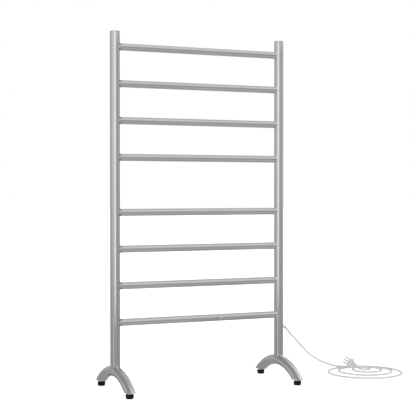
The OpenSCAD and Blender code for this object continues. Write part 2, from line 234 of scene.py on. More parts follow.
def lathe(profile, sides=64):
    """The profile (r, z) turned about Z."""
    rings = []
    for r, z in profile:
        if r < 1e-9:
            rings.append([Vector((0, 0, z))])
        else:
            rings.append(circle(Vector((0, 0, z)), Vector((1, 0, 0)), Vector((0, 1, 0)), r, sides))
    return skin(rings)


def frames_along(path, beside):
    """Two unit vectors square to the path at each point, carried along it without twist."""
    made = []
    across = Vector(beside)
    for i in range(len(path)):
        along = (path[min(i + 1, len(path) - 1)] - path[max(i - 1, 0)]).normalized()
        across = (across - along * across.dot(along)).normalized()
        made.append((across, along.cross(across)))
    return made


def sweep(path, radii, sides=48, beside=(0, 0, 1)):
    """A round body along the path, with a radius for each of its points and closed ends."""
    rings = [circle(p, a, b, r, sides)
             for p, r, (a, b) in zip(path, radii, frames_along(path, beside))]
    return skin([[path[0]]] + rings + [[path[-1]]])


def bezier(p0, p1, p2, p3, t):
    s = 1 - t
    return s ** 3 * p0 + 3 * s * s * t * p1 + 3 * s * t * t * p2 + t ** 3 * p3


def ease(t):
    t = min(max(t, 0.0), 1.0)
    return t * t * (3 - 2 * t)


# ---------------------------------------------------------------------------
# Camera
# ---------------------------------------------------------------------------

def make_camera():
    data = bpy.data.cameras.new("camera")
    data.lens = CAMERA_LENS
    data.sensor_width = 36
    data.clip_end = 60
    camera = bpy.data.objects.new("camera", data)
    camera.location = CAMERA_AT
    camera.rotation_euler = (math.radians(90 - CAMERA_PITCH), 0, math.radians(-CAMERA_YAW))
    bpy.context.scene.collection.objects.link(camera)
    bpy.context.scene.camera = camera


# ---------------------------------------------------------------------------
# Materials
# ---------------------------------------------------------------------------

def node(tree, kind, **values):
    made = tree.nodes.new(kind)
    for key, value in values.items():
        if key in made.inputs:
            made.inputs[key].default_value = value
        else:
            setattr(made, key, value)
    return made


def noise(tree, stretch, scale, detail=3.0, roughness=0.5):
    """Noise over the piece's own coordinates in metres, stretched by the three factors."""
    where = node(tree, "ShaderNodeTexCoord")
    mapping = node(tree, "ShaderNodeMapping")
    mapping.inputs["Scale"].default_value = stretch
    tree.links.new(where.outputs["Object"], mapping.inputs["Vector"])
    made = node(tree, "ShaderNodeTexNoise", Scale=scale, Detail=detail, Roughness=roughness)
    tree.links.new(mapping.outputs["Vector"], made.inputs["Vector"])
    return made.outputs["Fac"]


def ramp(tree, factor, stops):
    """A colour ramp over factor, from stops of (position, colour)."""
    made = node(tree, "ShaderNodeValToRGB")
    elements = made.color_ramp.elements
    while len(elements) < len(stops):
        elements.new(0.5)
    for element, (position, colour) in zip(elements, stops):
        element.position = position
        element.color = (*colour, 1)
    tree.links.new(factor, made.inputs["Fac"])
    return made.outputs["Color"]


def between(tree, factor, low, high, from_low=0.3, from_high=0.7):
    """The factor's usual span, from from_low to from_high, mapped to low .. high."""
    made = node(tree, "ShaderNodeMapRange")
    for key, value in (("From Min", from_low), ("From Max", from_high),
                       ("To Min", low), ("To Max", high)):
        made.inputs[key].default_value = value
    tree.links.new(factor, made.inputs["Value"])
    return made.outputs["Result"]


def times(tree, first, second):
    made = node(tree, "ShaderNodeMath", operation="MULTIPLY")
    tree.links.new(first, made.inputs[0])
    tree.links.new(second, made.inputs[1])
    return made.outputs["Value"]


def bump(tree, height, strength, distance, under=None):
    made = node(tree, "ShaderNodeBump", Strength=strength, Distance=distance)
    tree.links.new(height, made.inputs["Height"])
    if under is not None:
        tree.links.new(under, made.inputs["Normal"])
    return made.outputs["Normal"]


def start_material(name, **fixed):
    """A new material and its shader, with the values that are the same all over set on it."""
    material = bpy.data.materials.new(name)
    material.use_nodes = True
    shader = material.node_tree.nodes["Principled BSDF"]
    for key, value in fixed.items():
        shader.inputs[key.replace("_", " ")].default_value = value
    return material, material.node_tree, shader


def polished_steel():
    """Stainless tube polished to a satin mirror: faint cloudiness, fine polishing lines and a
    soft haze that varies from place to place."""
    material, tree, shader = start_material("polished_steel", Metallic=1.0)
    clouds = noise(tree, (1, 1, 1), 9.0, 4.0)
    tone = ramp(tree, clouds, [(0.3, (0.700, 0.712, 0.725)), (0.7, (0.745, 0.755, 0.765))])
    tree.links.new(tone, shader.inputs["Base Color"])
    haze = noise(tree, (1, 1, 1), 45.0, 6.0, 0.6)
    tree.links.new(between(tree, haze, 0.10, 0.155), shader.inputs["Roughness"])
    lines = noise(tree, (60, 60, 2600), 1.0, 2.0)
    grain = noise(tree, (1, 1, 1), 2200.0, 2.0)
    fine = bump(tree, grain, 0.02, 0.00002)
    tree.links.new(bump(tree, lines, 0.03, 0.00002, fine), shader.inputs["Normal"])
    return material


def bare_steel(name, low, high, rough, line_scale):
    """Turned or plated steel: tool lines round the axis and a patchy tone."""
    material, tree, shader = start_material(name, Metallic=1.0)
    patches = noise(tree, (1, 1, 1), 180.0, 4.0)
    tree.links.new(ramp(tree, patches, [(0.3, low), (0.7, high)]), shader.inputs["Base Color"])
    tree.links.new(between(tree, patches, rough, rough + 0.12), shader.inputs["Roughness"])
    lines = noise(tree, (40, 40, line_scale), 1.0, 3.0)
    tree.links.new(bump(tree, lines, 0.25, 0.00003), shader.inputs["Normal"])
    return material


def moulded(name, low, high, rough, grain_scale, grain_depth, **fixed):
    """Moulded plastic or rubber: a slightly uneven tone and a fine spark-eroded grain."""
    material, tree, shader = start_material(name, Metallic=0.0, **fixed)
    tone = noise(tree, (1, 1, 1), 70.0, 5.0, 0.6)
    tree.links.new(ramp(tree, tone, [(0.32, low), (0.68, high)]), shader.inputs["Base Color"])
    sheen = noise(tree, (1, 1, 1), 260.0, 3.0)
    tree.links.new(between(tree, sheen, rough - 0.06, rough + 0.06), shader.inputs["Roughness"])
    grain = noise(tree, (1, 1, 1), grain_scale, 2.0)
    tree.links.new(bump(tree, grain, 0.35, grain_depth), shader.inputs["Normal"])
    return material


make_camera()

STEEL = polished_steel()
PLAIN = bare_steel("plain_steel", (0.46, 0.47, 0.48), (0.56, 0.57, 0.58), 0.26, 1500.0)
ZINC = bare_steel("zinc_steel", (0.66, 0.68, 0.70), (0.78, 0.79, 0.80), 0.22, 900.0)
NICKEL = bare_steel("nickel_pins", (0.50, 0.49, 0.47), (0.60, 0.59, 0.57), 0.18, 700.0)
BRASS = bare_steel("terminal_brass", (0.66, 0.50, 0.25), (0.78, 0.62, 0.34), 0.24, 800.0)
RUBBER = moulded("black_rubber", (0.002, 0.002, 0.002), (0.006, 0.006, 0.006), 0.52, 2600.0,
                 0.00006, Specular_IOR_Level=0.3)
PVC = moulded("white_pvc", (0.72, 0.72, 0.715), (0.79, 0.79, 0.785), 0.36, 1500.0, 0.00004,
              Subsurface_Weight=0.05, Subsurface_Scale=0.002)
NYLON = moulded("white_nylon", (0.70, 0.70, 0.68), (0.78, 0.78, 0.76), 0.42, 1400.0, 0.00004)
SILICONE = moulded("heating_silicone", (0.30, 0.05, 0.04), (0.42, 0.08, 0.06), 0.5, 1200.0,
                   0.00005)
BROWN = moulded("brown_insulation", (0.17, 0.08, 0.035), (0.24, 0.12, 0.05), 0.4, 1500.0, 0.00003)
BLUE = moulded("blue_insulation", (0.05, 0.16, 0.42), (0.08, 0.22, 0.52), 0.4, 1500.0, 0.00003)
GREEN = moulded("green_insulation", (0.05, 0.30, 0.08), (0.10, 0.42, 0.12), 0.4, 1500.0, 0.00003)
BY_SLOT = {"polished_steel": STEEL, "plain_steel": PLAIN, "zinc_steel": ZINC,
           "nickel_pins": NICKEL, "terminal_brass": BRASS, "black_rubber": RUBBER,
           "white_pvc": PVC, "white_nylon": NYLON, "heating_silicone": SILICONE,
           "brown_insulation": BROWN, "blue_insulation": BLUE, "green_insulation": GREEN}


# ---------------------------------------------------------------------------
# Mains lead, its strain relief and its plug
# ---------------------------------------------------------------------------

def smooth_route(points, steps):
    """Catmull-Rom curve through the points, as the CAD lead follows it."""
    made = []
    for i in range(len(points) - 1):
        a, b = points[max(i - 1, 0)], points[i]
        c, d = points[i + 1], points[min(i + 2, len(points) - 1)]
        for k in range(steps):
            t = k / steps
            made.append(0.5 * (2 * b + (c - a) * t + (2 * a - 5 * b + 4 * c - d) * t * t
                               + (3 * b - a - 3 * c + d) * t ** 3))
    return made


def coil_place(v):
    """Where the coil's line is after v turns, seen from above: each turn lies inside the last."""
    shift = sum(ease((v - (k - 0.56)) / 0.54) for k in range(1, len(TURNS)))
    k = min(int(shift), len(TURNS) - 2)
    (c0, r0), (c1, r1) = TURNS[k], TURNS[k + 1]
    part = shift - k
    centre, radius = c0.lerp(c1, part), r0 + (r1 - r0) * part
    turn = TURN * v
    across = radius * math.sin(turn) - LEAN[int(v + 0.75)] * math.sin(math.pi * (v + 0.75)) ** 2
    return centre + across * COIL_ACROSS + radius * math.cos(turn) * COIL_AWAY


def plug_frame():
    """The plug's own frame: X out of its face, along the pins."""
    return (Matrix.Translation(PLUG_FACE)
            @ Matrix.Rotation(math.radians(PLUG_HEADING), 4, "Z")
            @ Matrix.Rotation(math.radians(-PLUG_TILT), 4, "Y"))


# Where the pins point, the same on the floor, and the ends of the boot behind the plug
PLUG_AIM = (plug_frame().to_3x3() @ Vector((1, 0, 0))).normalized()
FLAT_AIM = Vector((PLUG_AIM.x, PLUG_AIM.y, 0)).normalized()
BOOT_FROM = PLUG_FACE - PLUG_AIM * 22 * MM
BOOT_TAIL = BOOT_FROM - FLAT_AIM * 23 * MM + Vector((0, 0, 0.0055 - BOOT_FROM.z))
BOOT_LAND = BOOT_TAIL + FLAT_AIM * 7.9 * MM + Vector((0, 0, 1.8 * MM))


def boot_line(t):
    """Centre line of the plug's moulded boot: it leaves the plug level and droops over to the
    floor."""
    leave = BOOT_FROM - FLAT_AIM * 9.5 * MM + Vector((0, 0, 0.8 * MM))
    return bezier(BOOT_FROM, leave, BOOT_LAND, BOOT_TAIL, t)


def relief_line(t):
    """Centre line of the strain relief: out of the post, then the way the lead falls."""
    return bezier(EXIT_AT - Vector((0.002, 0, 0)), EXIT_AT + Vector((0.008, 0, 0)),
                  BOOT_TIP - BOOT_AIM * 8 * MM, BOOT_TIP, t)


def lead_line():
    """Centre line of the lead, from inside its strain relief to inside the plug's boot."""
    line = [relief_line(t) for t in (0.45, 0.6, 0.75, 0.88)]
    line += [Vector((p.x, p.y, max(p.z, LEAD_R)))
             for p in smooth_route([BOOT_TIP] + [Vector(p) for p in ROUTE], ROUTE_STEPS)]
    for i in range(COIL_STEPS + 1):
        v = COIL_START + (COIL_END - COIL_START) * i / COIL_STEPS
        flat = coil_place(v)
        rise = max(0.0, 1 - (COIL_END - v) / CLIMB) ** 2
        line.append(Vector((flat.x, flat.y, LEAD_R + (BOOT_TAIL.z - LEAD_R) * rise)))
    line += [BOOT_TAIL.lerp(BOOT_LAND, t) for t in (0.2, 0.4)]
    return line


def make_lead(line):
    data = bpy.data.curves.new("power_lead", "CURVE")
    data.dimensions = "3D"
    spline = data.splines.new("POLY")
    spline.points.add(len(line) - 1)
    for point, place in zip(spline.points, line):
        point.co = (*place, 1)
    data.bevel_depth = LEAD_R
    data.bevel_resolution = 7
    data.use_fill_caps = True
    data.materials.append(PVC)
    lead = bpy.data.objects.new("power_lead", data)
    bpy.context.scene.collection.objects.link(lead)
    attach(lead, "frame")
    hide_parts("power_cord", "cord_coil")
    return lead


def ribbed(line, root_r, tip_r, depth, ribs=5, start=0.18, stop=0.92, steps=72):
    """Tapered sleeve along the line, with rounded ends and rings cut into it, as on a sleeve made
    to bend.
    """
    path, radii = [], []
    for i in range(steps + 1):
        t = i / steps
        path.append(line(t))
        taper = root_r + (tip_r - root_r) * t
        if start < t < stop:
            wave = math.sin(math.pi * ribs * (t - start) / (stop - start)) ** 2
            taper -= depth * ease(2.2 * wave - 0.6)
        edge = min(t / 0.03, 1.0, (1 - t) / 0.04)
        radii.append(taper * (0.80 + 0.20 * math.sqrt(max(0.0, 1 - (1 - edge) ** 2))))
    return sweep(path, radii, 40)


def grommet_shape():
    """Bush with a rounded flange, turned about the hole's own axis, which is X."""
    outline = rounded([(3.0, -4, 0), (6.5, -4, 0.4), (6.5, 1.8, 0.9), (4.3, 1.8, 0.3),
                       (4.3, 1.0, 0)])
    profile = [(0, -4)] + [tuple(p) for p in outline] + [(0, 1.0)]
    verts, faces = lathe([(r * MM, z * MM) for r, z in profile], 56)
    turn = Matrix.Rotation(math.radians(90), 4, "Y")
    return [turn @ v for v in verts], faces


def plug_shape():
    """Moulded plug: a round front that swells to a grip, then a cone down to the boot."""
    front, grip_r, neck = 14.4, 17.5, 5.8
    outline = rounded([(0, 0, 0), (front - 1.6, 0, 0.5), (front - 1.2, 0.7, 0.3),
                       (front, 0.7, 1.2), (front + 1.0, 4.0, 1.5), (grip_r - 0.3, 5.6, 0.5),
                       (grip_r, 8.6, 2.4), (grip_r - 4.6, 13.0, 3.5), (neck + 3.0, 19.5, 4.0),
                       (neck, 23.2, 1.6), (neck - 1.4, 24.0, 0.5), (0, 24.0, 0)], 7)
    sides = 72
    rings = []
    for r, back in outline:
        if r < 1e-9:
            rings.append([Vector((-back * MM, 0, 0))])
            continue
        grip = ease((back - 9.5) / 3.0) * ease((21.0 - back) / 3.0)
        ridge = 0.28 * grip * max(0.0, math.sin(TURN * (back - 10.0) / 2.2))
        ring = []
        for k in range(sides):
            a = TURN * k / sides
            side = abs(math.cos(a))
            around = r * (1 - 0.06 * grip * side ** 3) + ridge * side ** 2
            ring.append(Vector((-back * MM, around * math.cos(a) * MM, around * math.sin(a) * MM)))
        rings.append(ring)
    return skin(rings)


def pin_shape(across):
    """Round pin with a domed end and a shallow groove near its root."""
    radius, length = 2.0, 19.0
    profile = [(0, -2.0), (radius, -2.0), (radius, 0.8), (radius - 0.12, 1.0),
               (radius - 0.12, 1.4), (radius, 1.6), (radius, length - radius - 0.2)]
    profile += [(radius * math.cos(a), length - radius + radius * math.sin(a))
                for a in (math.pi / 2 * k / 8 for k in range(9))]
    verts, faces = lathe([(max(r, 0) * MM, z * MM) for r, z in profile], 40)
    turn = Matrix.Rotation(math.radians(90), 4, "Y")
    place = Matrix.Translation(Vector((0, 0, across * MM))) @ turn
    return [place @ v for v in verts], faces


def make_lead_and_plug():
    lead = make_lead(lead_line())
    bush = piece("cord_bush", grommet_shape(), NYLON, nodes=["cord_grommet"],
                 place=Matrix.Translation(Vector((BUSH_X, 0, EXIT_AT.z))), sharp=50)
    relief = piece("lead_strain_relief", ribbed(relief_line, *RELIEF_SLEEVE), PVC,
                   nodes=["strain_relief"])
    at_plug = plug_frame()
    body = piece("plug_moulding", plug_shape(), PVC, nodes=["plug_body"],
                 place=at_plug)
    boot = piece("plug_tail", ribbed(boot_line, *BOOT_SLEEVE), PVC,
                 nodes=["plug_boot"])
    pins = [piece(name + "_pin", pin_shape(across), NICKEL,
                  nodes=["plug_" + name + "_pin"], place=at_plug, sharp=50)
            for name, across in (("live", PIN_SPACING), ("neutral", -PIN_SPACING), ("earth", 0.0))]


make_lead_and_plug()


# ---------------------------------------------------------------------------
# Posts, caps and bars
# ---------------------------------------------------------------------------

# Centre of the arch that each foot's centre line follows
ARCH_CENTRE = {side: Vector((middle(side + "_post").x, 0,
                             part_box(side + "_foot")[1].z - FOOT_R - ARCH_R)) for side in OUTWARD}


def saddle_z(side, radius, across, along):
    """Height at which a tube of that radius about the post's axis meets the arch's top."""
    over = math.sqrt(max(0.0, FOOT_R ** 2 - (radius * across) ** 2))
    return ARCH_CENTRE[side].z + math.sqrt((ARCH_R + over) ** 2 - (radius * along) ** 2)


def post_shape(side):
    x = middle(side + "_post").x
    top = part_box(side + "_post")[1].z
    straight_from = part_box(side + "_foot")[1].z + 6 * MM
    inner_r = POST_R - TUBE_WALL
    edge = 0.25 * MM
    sink = 0.2 * MM

    def ring(radius, z=None, part=0.0):
        points = []
        for k in range(TUBE_SIDES):
            a = TURN * k / TUBE_SIDES
            across, along = math.cos(a), math.sin(a)
            level = z
            if z is None:
                low = saddle_z(side, radius, across, along) - sink
                level = low + (straight_from - low) * part
            points.append(Vector((x + radius * across, radius * along, level)))
        return points

    levels = [straight_from + (top - edge - straight_from) * i / 24 for i in range(25)]
    outer = [ring(POST_R, part=p) for p in (0.0, 0.35, 0.7)] + [ring(POST_R, z) for z in levels]
    lip = [ring(POST_R - edge * (1 - math.cos(a)), top - edge + edge * math.sin(a))
           for a in (math.radians(d) for d in (30, 60, 90))]
    inner = [ring(inner_r, z) for z in (top, levels[-2], levels[12], levels[0])]
    inner += [ring(inner_r, part=0.0)]
    return skin(outer + lip + inner, closed=True)


def cap_shape(side):
    """Cap with a rounded rim, a barely crowned top and a hollow spigot inside the post."""
    low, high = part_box(side + "_post_cap")
    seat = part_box(side + "_post")[1].z
    rise = (high.z - seat) / MM
    spigot_r, spigot_in = 13.45, 11.45
    deep = (low.z - seat) / MM
    outline = rounded([(0, 1.0, 0), (spigot_in, 1.0, 0.4), (spigot_in, deep, 0.3),
                       (spigot_r, deep, 0.4), (spigot_r, 0, 0.15), (15, 0, 0.25),
                       (15, rise - 0.15, 2.0), (0, rise, 0)], 8)
    verts, faces = lathe([(r * MM, z * MM) for r, z in outline], TUBE_SIDES)
    shift = Vector((middle(side + "_post").x, 0, seat))
    return [v + shift for v in verts], faces


def bar_shape(name):
    low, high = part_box(name)
    z = (low.z + high.z) / 2
    sides = 80
    count = 16

    def ring(x, radius):
        return circle(Vector((x, 0, z)), Vector((0, 1, 0)), UP, radius, sides)

    steps = [low.x + (high.x - low.x) * i / count for i in range(count + 1)]
    rings = [ring(x, BAR_R) for x in steps] + [ring(x, BAR_R - BAR_WALL) for x in reversed(steps)]
    return skin(rings, closed=True)


def fillet(ball, ends, root, radius, steps=7):
    """Cross-section of a weld: the hollow arc of a ball that rests on both tubes, closed by a
    point inside the metal."""
    first, last = ((p - ball).normalized() for p in ends)
    return [ball + radius * first.slerp(last, k / steps) for k in range(steps + 1)] + [root]


def bar_weld_shape(side, name, steps=72):
    x = middle(side + "_post").x
    z = middle(name).z
    inward = -OUTWARD[side]
    near_post, near_bar = POST_R + WELD_R, BAR_R + WELD_R
    rings = []
    for k in range(steps):
        a = TURN * k / steps
        y, up = near_bar * math.sin(a), near_bar * math.cos(a)
        off = math.sqrt(near_post ** 2 - y ** 2)
        ball = Vector((x + inward * off, y, z + up))
        on_bar = Vector((ball.x, BAR_R * math.sin(a), z + BAR_R * math.cos(a)))
        share = POST_R / near_post
        on_post = Vector((x + inward * off * share, y * share, z + up))
        deep = BAR_R - 0.4 * MM
        root_y = deep * math.sin(a)
        root = Vector((x + inward * (math.sqrt(POST_R ** 2 - root_y ** 2) - 0.4 * MM), root_y,
                       z + deep * math.cos(a)))
        rings.append(fillet(ball, (on_bar, on_post), root, WELD_R))
    return skin(rings, closed=True)


def foot_weld_shape(side, steps=112):
    """Weld round the foot of the post, where it sits on the arch."""
    centre = ARCH_CENTRE[side]
    near, reach = POST_R + FOOT_WELD_R, FOOT_R + FOOT_WELD_R
    rings = []
    for k in range(steps):
        a = TURN * k / steps
        x, y = near * math.cos(a), near * math.sin(a)
        arm = ARCH_R + math.sqrt(reach ** 2 - x ** 2)
        ball = centre + Vector((x, y, math.sqrt(arm ** 2 - y ** 2)))
        on_post = Vector((centre.x + POST_R * math.cos(a), POST_R * math.sin(a), ball.z))
        spoke = Vector((0, y, ball.z - centre.z)).normalized()
        hub = centre + spoke * ARCH_R
        on_arch = hub + (ball - hub).normalized() * FOOT_R
        inside = ((on_post - ball) + (on_arch - ball)).normalized()
        root = (on_post + on_arch) / 2 + inside * 0.35 * MM
        rings.append(fillet(ball, (on_post, on_arch), root, FOOT_WELD_R))
    return skin(rings, closed=True)


# ---------------------------------------------------------------------------
# Feet and glides
# ---------------------------------------------------------------------------

def foot_shape(side):
    """Arched tube, cut off level at both ends, with eased edges."""
    centre = ARCH_CENTRE[side]
    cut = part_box(side + "_foot")[0].z
    edge = 0.4 * MM
    inner_r = FOOT_R - TUBE_WALL

    def ring(radius, z, share):
        points = []
        for k in range(TUBE_SIDES):
            a = TURN * k / TUBE_SIDES
            arm = ARCH_R + radius * math.cos(a)
            t = math.acos((z - centre.z) / arm) * share
            points.append(centre + Vector((radius * math.sin(a), arm * math.sin(t),
                                           arm * math.cos(t))))
        return points

    count = 88
    spans = [2 * i / count - 1 for i in range(count + 1)]
    quarter = [math.radians(d) for d in (22.5, 45, 67.5, 90)]
    outer = [ring(FOOT_R, cut + edge, s) for s in spans]
    lip = [(FOOT_R - edge * (1 - math.cos(a)), cut + edge * (1 - math.sin(a))) for a in quarter]
    inner_lip = [(inner_r + edge / 2 * (1 - math.sin(a)), cut + edge / 2 * (1 - math.cos(a)))
                 for a in [0.0] + quarter]
    right_end = [ring(r, z, 1) for r, z in lip + inner_lip]
    inner = [ring(inner_r, cut + edge, s) for s in reversed(spans[1:-1])]
    left_end = [ring(r, z, -1) for r, z in reversed(lip + inner_lip)]
    return skin(outer + right_end + inner + left_end, closed=True)


def drilled(obj, hole):
    """Cuts the closed shape hole out of the piece."""
    mesh = bpy.data.meshes.new("drill")
    mesh.from_pydata([tuple(v) for v in hole[0]], [], hole[1])
    tool = bpy.data.objects.new("drill", mesh)
    bpy.context.scene.collection.objects.link(tool)
    cut = obj.modifiers.new("hole", "BOOLEAN")
    cut.operation = "DIFFERENCE"
    cut.solver = "MANIFOLD"
    cut.object = tool
    bpy.context.view_layer.update()
    made = bpy.data.meshes.new_from_object(obj.evaluated_get(bpy.context.evaluated_depsgraph_get()))
    obj.modifiers.clear()
    obj.data = made
    bpy.data.objects.remove(tool)
    made.set_sharp_from_angle(angle=math.radians(40))


def pad_shape(node_name):
    """Tapered rubber pad: grooved sole, a moulding step in its side and a pocket for the stud."""
    at = middle(node_name)
    outline = rounded([(0, 0.5, 0), (2.6, 0.5, 0.2), (3.1, 0, 0.2), (4.7, 0, 0.2), (5.2, 0.5, 0.2),
                       (6.6, 0.5, 0.2), (7.1, 0, 0.2), (11.0, 0, 1.0), (12.1, 7.4, 0.5),
                       (12.4, 7.6, 0.3), (13.0, 12.5, 1.1), (9.0, 12.5, 0.3), (8.5, 12.2, 0.2),
                       (3.15, 12.2, 0.2), (3.15, 9.7, 0.2), (5.1, 9.7, 0.2), (5.1, 6.3, 0.2),
                       (0, 6.3, 0)], 5)
    verts, faces = lathe([(r * MM, z * MM) for r, z in outline], 72)
    return [v + Vector((at.x, at.y, 0)) for v in verts], faces


def hexagon_ring(z, limit, sides=72):
    """Level ring round a 13 mm hexagon, held inside a circle of radius limit."""
    flat = 6.5
    points = []
    for k in range(sides):
        a = TURN * k / sides
        off = (a + math.pi / 6) % (math.pi / 3) - math.pi / 6
        r = min(flat / math.cos(off), limit)
        points.append(Vector((r * math.cos(a), r * math.sin(a), z)) * MM)
    return points


def thread_shape(low, high, sides=36):
    """Right-hand M8 thread from low to high, in millimetres, running out at both ends."""
    pitch, crest, root = 1.25, 3.98, 3.28
    profile = [(0.00, root), (0.08, root), (0.44, crest), (0.56, crest), (0.92, root)]
    first = int(low / pitch) - 1
    last = int(high / pitch) + 1
    rows = [(turn + share, r) for turn in range(first, last + 1) for share, r in profile]
    rings = []
    for place, r in rows:
        ring = []
        for k in range(sides):
            z = (place + k / sides) * pitch
            end = min(max(min(z - low, high - z), 0.0) / 0.7, 1.0)
            radius = root + (r - root) * end
            ring.append(Vector((radius * math.cos(TURN * k / sides),
                                radius * math.sin(TURN * k / sides),
                                min(max(z, low), high))) * MM)
        rings.append(ring)
    verts, faces = [], []
    per = len(profile)
    for ring in rings:
        verts.extend(ring)
    for i in range(len(rings) - 1):
        for k in range(sides - 1):
            a = i * sides + k
            faces.append((a, a + 1, a + 1 + sides, a + sides))
        if i + per + 1 < len(rings):
            a = i * sides + sides - 1
            b = (i + per) * sides
            faces.append((a, b, b + sides, a + sides))
    return verts, faces


def stud_shape(node_name):
    """Glide stud: head in the pad, neck, chamfered hexagon and a threaded shank."""
    at = middle(node_name)
    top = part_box(node_name)[1].z / MM
    low_z, flange = 12.65, 1.4
    head = rounded([(0, 6.5, 0), (5.0, 6.5, 0.4), (5.0, 9.5, 0.4), (2.9, 9.5, 0.2),
                    (2.9, low_z + 0.3, 0)], 4)
    lower = lathe([(r * MM, z * MM) for r, z in head] + [(0, (low_z + 0.3) * MM)], 48)
    levels = [(low_z, 6.6), (low_z + 0.25, 7.3), (low_z + 0.45, 8), (low_z + flange - 0.45, 8),
              (low_z + flange - 0.25, 7.3), (low_z + flange, 6.6)]
    hexagon = skin([hexagon_ring(z, limit) for z, limit in levels])
    core = rounded([(0, low_z + 0.8, 0), (3.30, low_z + 0.8, 0), (3.30, top, 0.5), (0, top, 0)], 4)
    shank = lathe([(r * MM, z * MM) for r, z in core], 48)
    parts = merged([lower, hexagon, shank, thread_shape(low_z + flange + 0.05, top - 0.3)])
    return [v + Vector((at.x, at.y, 0)) for v in parts[0]], parts[1]


def make_frame_pieces():
    for side in OUTWARD:
        piece(side + "_post_tube", post_shape(side), STEEL,
              nodes=[side + "_post"], sharp=50)
        piece(side + "_cap", cap_shape(side), STEEL,
              nodes=[side + "_post_cap"], sharp=50)
        piece(side + "_bar_welds", merged([bar_weld_shape(side, name) for name in BARS]), STEEL,
              sharp=50)
        piece(side + "_foot_weld", foot_weld_shape(side), STEEL, sharp=50)
        foot = piece(side + "_foot_tube", foot_shape(side), STEEL,
                     nodes=[side + "_foot"], sharp=50)
        centre = ARCH_CENTRE[side]
        bottom = centre.z + ARCH_R - 2 * FOOT_R
        drill = [circle(Vector((centre.x, 0, z)), Vector((1, 0, 0)), Vector((0, 1, 0)),
                        ACCESS_HOLE_R, 48) for z in (bottom, bottom + 1.8 * FOOT_R)]
        drilled(foot, skin(drill))
    for name in BARS:
        piece("heated_" + name, bar_shape(name), STEEL, nodes=[name], sharp=50)


def make_glides():
    for side in OUTWARD:
        for end in ENDS:
            corner = side + "_" + end
            piece(corner + "_glide_pad", pad_shape(corner + "_pad"), RUBBER,
                  body=corner + "_glide", nodes=[corner + "_pad"])
            piece(corner + "_glide_stud", stud_shape(corner + "_stud"), ZINC,
                  body=corner + "_screw", nodes=[corner + "_stud"], sharp=35)


def dress_cad_nodes():
    """Gives every CAD node that stays its own procedural material."""
    for row in frame["record"]["subparts"]:
        obj = frame["nodes"][row["node"]]
        if obj.hide_render:
            continue
        for slot in obj.material_slots:
            slot.material = BY_SLOT[row["material_slot"]]
        if not obj.material_slots:
            obj.data.materials.append(BY_SLOT[row["material_slot"]])


make_frame_pieces()
make_glides()
dress_cad_nodes()


# ---------------------------------------------------------------------------
# Floor, studio and light
# ---------------------------------------------------------------------------

def grey(value):
    return (value, value, value)


def make_floor():
    mesh = bpy.data.meshes.new("studio_floor")
    half = 30.0
    mesh.from_pydata([(-half, -half, 0), (half, -half, 0), (half, half, 0), (-half, half, 0)], [],
                     [(0, 1, 2, 3)])
    material, tree, shader = start_material("studio_floor", Roughness=0.9, Specular_IOR_Level=0.0,
                                            Emission_Color=(1, 1, 1, 1))
    rays = node(tree, "ShaderNodeLightPath")
    tree.links.new(between(tree, rays.outputs["Is Camera Ray"], 0.30, 0.66, 0.0, 1.0),
                   shader.inputs["Emission Strength"])
    tone = noise(tree, (1, 1, 1), 3.0, 2.0)
    tree.links.new(ramp(tree, tone, [(0.3, grey(0.86)), (0.7, grey(0.88))]),
                   shader.inputs["Base Color"])
    mesh.materials.append(material)
    floor = bpy.data.objects.new("studio_floor", mesh)
    floor.visible_glossy = False
    bpy.context.scene.collection.objects.link(floor)


def direction_level(tree):
    """0 straight down, 0.5 at the horizon, 1 straight up, for the world's own directions."""
    where = node(tree, "ShaderNodeTexCoord")
    split = node(tree, "ShaderNodeSeparateXYZ")
    tree.links.new(where.outputs["Generated"], split.inputs["Vector"])
    return between(tree, split.outputs["Z"], 0.0, 1.0, -1.0, 1.0)


def studio_direction(tree):
    """The world's directions, turned so that X runs from the back of the studio to its front."""
    where = node(tree, "ShaderNodeTexCoord")
    turn = node(tree, "ShaderNodeMapping")
    turn.inputs["Rotation"].default_value = (0, 0, math.radians(90 + STUDIO_TURN))
    tree.links.new(where.outputs["Generated"], turn.inputs["Vector"])
    return turn.outputs["Vector"]


def direction_round(tree):
    """0 to 1 once round the horizon from behind the rack, by its left, and 0.5 at the front."""
    sweep_round = node(tree, "ShaderNodeTexGradient", gradient_type="RADIAL")
    tree.links.new(studio_direction(tree), sweep_round.inputs["Vector"])
    return sweep_round.outputs["Fac"]


def fore_and_aft(tree):
    """0 towards the back of the studio, 1 towards its front."""
    split = node(tree, "ShaderNodeSeparateXYZ")
    tree.links.new(studio_direction(tree), split.inputs["Vector"])
    return between(tree, split.outputs["X"], 0.0, 1.0, -0.5, 0.3)


def round_stop(degrees, value):
    """A grey stop for direction_round, in degrees to the right of the studio's front."""
    return ((degrees + 180) / 360, grey(value))


def level_stop(degrees, value):
    """A grey stop for direction_level, in degrees above the horizon."""
    return ((math.sin(math.radians(degrees)) + 1) / 2, grey(value))


def blend_colours(tree, factor, first, second):
    mix = node(tree, "ShaderNodeMix", data_type="RGBA")
    tree.links.new(factor, mix.inputs["Factor"])
    tree.links.new(first, mix.inputs["A"])
    tree.links.new(second, mix.inputs["B"])
    return mix.outputs["Result"]


